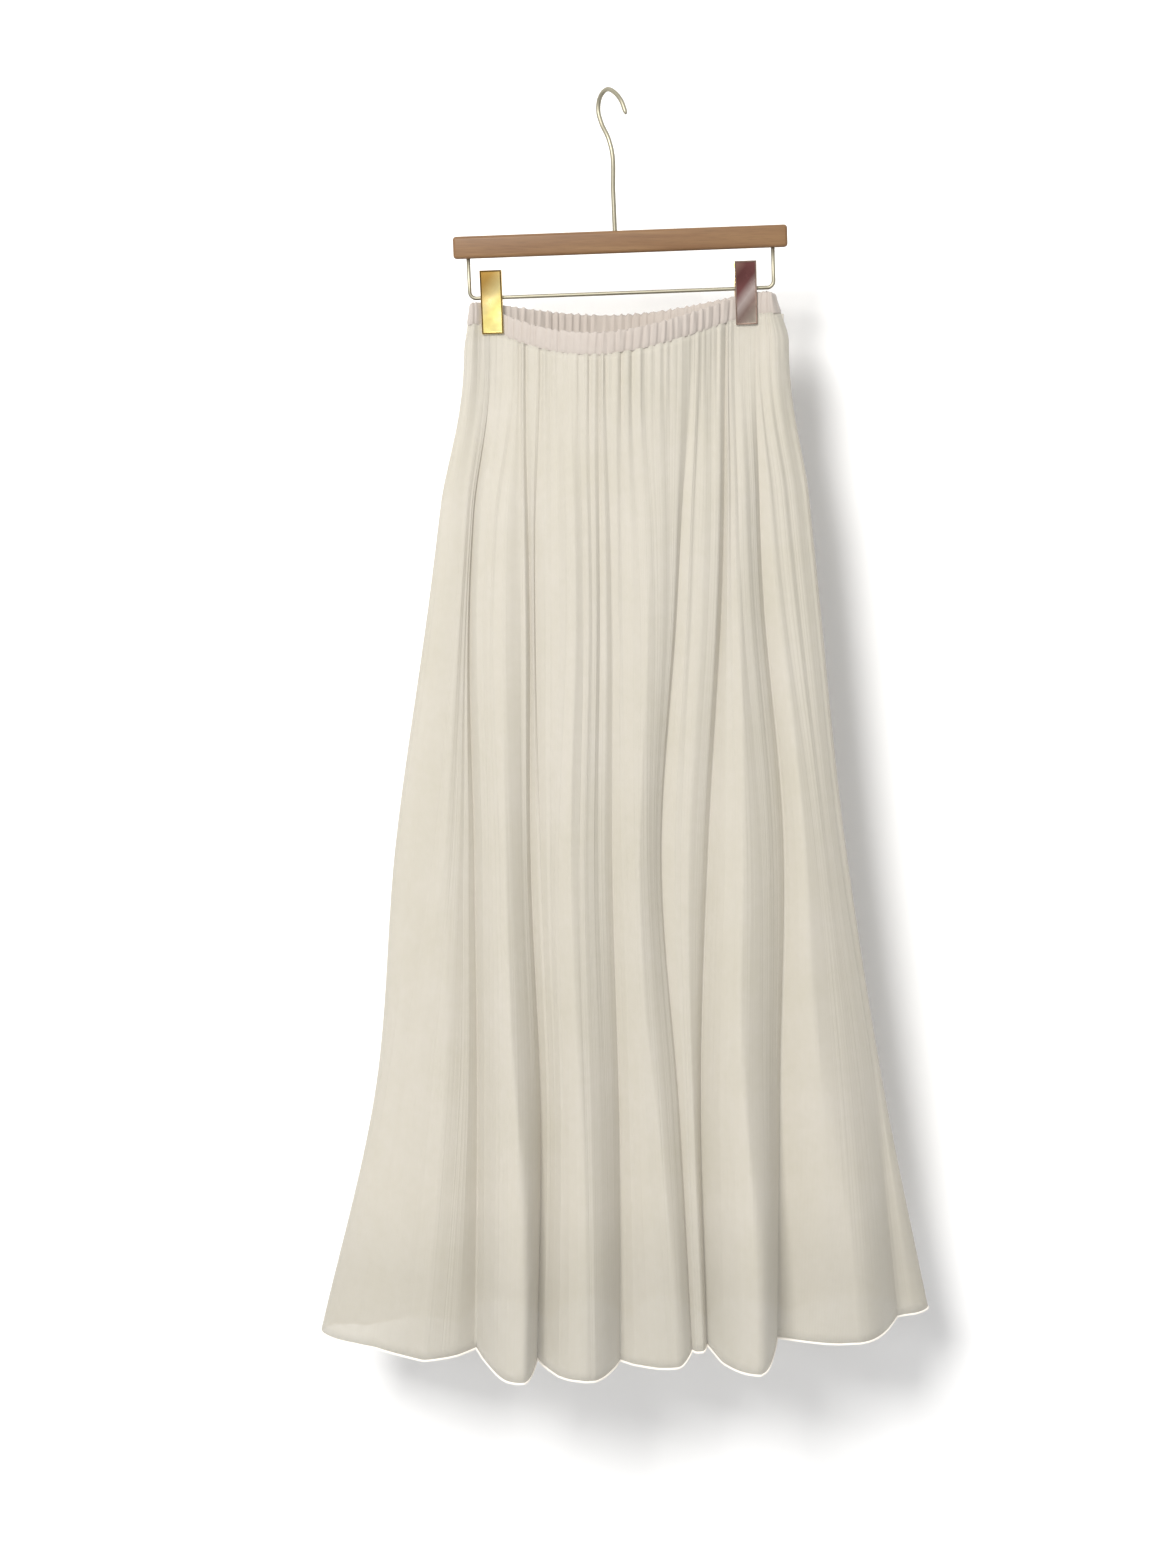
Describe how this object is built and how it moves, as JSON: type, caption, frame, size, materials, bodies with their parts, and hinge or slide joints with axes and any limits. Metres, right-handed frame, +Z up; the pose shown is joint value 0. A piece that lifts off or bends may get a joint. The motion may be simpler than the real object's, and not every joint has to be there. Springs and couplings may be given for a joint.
{
  "type": "pleated skirt on a clip hanger",
  "caption": "Long sheer pleated skirt with an elastic waist, a rolled hem and a shorter lining, hung by its waist from the clips of a wooden hanger.",
  "frame": {"origin": "top of the inner side of the hanger's hook, where a rail or a peg carries it", "axes": "+Z up, -Y towards someone who looks at the skirt's front, +X to their right"},
  "size_m": [0.6084, 0.196, 1.2149],
  "materials": {
    "pleated_cloth": "sheer crinkled chiffon in permanent accordion pleats, matt with a faint sheen",
    "lining_cloth": "plain opaque lining, softly matt",
    "waist_casing": "doubled chiffon gathered over elastic",
    "bar_wood": "light brown beech under a satin lacquer",
    "hook_wire": "pale gold plated steel wire",
    "clip_metal": "polished gold plated steel"
  },
  "bodies": {
    "root": {"skirt_front": "pleated_cloth", "skirt_back": "pleated_cloth", "lining_front": "lining_cloth", "lining_back": "lining_cloth", "waistband_front": "waist_casing", "waistband_back": "waist_casing", "hanger_bar": "bar_wood", "hanger_hook": "hook_wire", "hanger_frame": "hook_wire", "clip_left_front_jaw": "clip_metal", "clip_left_back_jaw": "clip_metal", "clip_left_sleeve": "clip_metal", "clip_right_front_jaw": "clip_metal", "clip_right_back_jaw": "clip_metal", "clip_right_sleeve": "clip_metal"}
  },
  "joints": []
}
